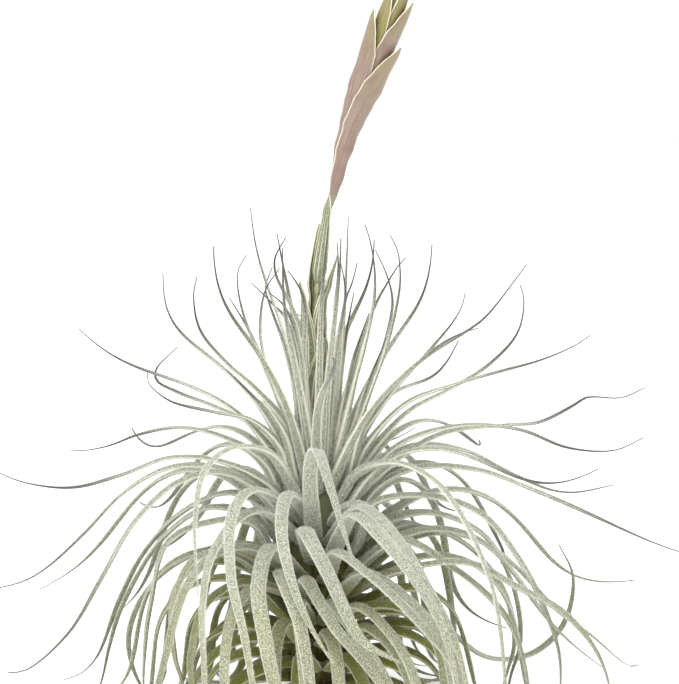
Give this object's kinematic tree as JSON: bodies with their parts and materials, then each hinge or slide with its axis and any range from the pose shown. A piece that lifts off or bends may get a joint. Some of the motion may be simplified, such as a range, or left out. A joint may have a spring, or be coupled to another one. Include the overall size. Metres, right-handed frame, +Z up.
{
  "type": "tillandsia tectorum",
  "caption": "Silver-haired air plant in bud: narrow channelled leaves arch out of a short woody stem that stands on a flat foot, round a tall flower spike clasped by bracts.",
  "frame": {"origin": "middle of the flat foot of the stem, on the surface that the plant stands on", "axes": "+Z up along the stem, -Y towards the viewer of the picture, +X to the viewer's right, the way the flower spike leans"},
  "size_m": [0.2858, 0.2343, 0.3211],
  "materials": {
    "stem": "matte",
    "leaf": "matte",
    "scape": "matte",
    "scape_bract": "matte",
    "spike_bract": "satin",
    "bud": "satin"
  },
  "bodies": {
    "root": {"stem": "stem", "leaf_tier_01": "leaf", "leaf_tier_02": "leaf", "leaf_tier_03": "leaf", "leaf_tier_04": "leaf", "leaf_tier_05": "leaf", "leaf_tier_06": "leaf", "leaf_tier_07": "leaf", "leaf_tier_08": "leaf", "leaf_tier_09": "leaf", "leaf_tier_10": "leaf", "leaf_tier_11": "leaf", "leaf_tier_12": "leaf", "leaf_tier_13": "leaf", "flower_scape": "scape", "scape_bract_1": "scape_bract", "scape_bract_2": "scape_bract", "scape_bract_3": "scape_bract", "scape_bract_4": "scape_bract", "scape_bract_5": "scape_bract", "scape_bract_6": "scape_bract", "spike_bract_1": "spike_bract", "spike_bract_2": "spike_bract", "spike_bract_3": "spike_bract", "spike_bract_4": "spike_bract", "spike_bract_5": "spike_bract", "spike_bract_6": "spike_bract", "spike_bud": "bud"}
  },
  "joints": []
}
